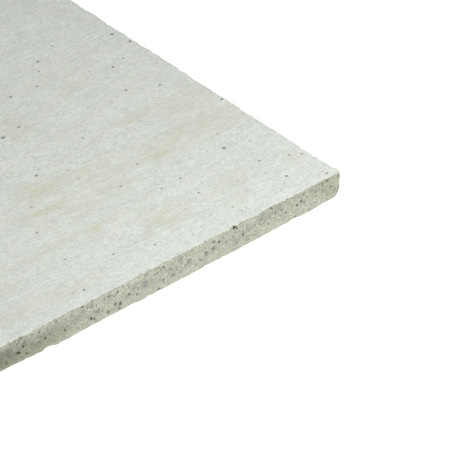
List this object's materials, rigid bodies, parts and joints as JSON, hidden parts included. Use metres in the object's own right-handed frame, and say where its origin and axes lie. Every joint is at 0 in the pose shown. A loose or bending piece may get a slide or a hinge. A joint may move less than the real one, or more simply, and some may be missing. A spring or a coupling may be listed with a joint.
{
  "type": "magnesium oxide board",
  "caption": "Flat magnesium oxide building board with a pale streaked moulded face, square sawn edges showing a grainy core, and a worn bottom corner.",
  "frame": {"origin": "middle of the back face, which the board lies on", "axes": "+X along the length, +Y along the width, +Z out of the moulded face"},
  "size_m": [1.2, 0.6, 0.012],
  "materials": {
    "board": "matt pale grey-green cast cement face with fine streaks, beige stains and small dark specks, and grainy grey-beige sawn edges"
  },
  "bodies": {
    "root": {"board": "board"}
  },
  "joints": []
}
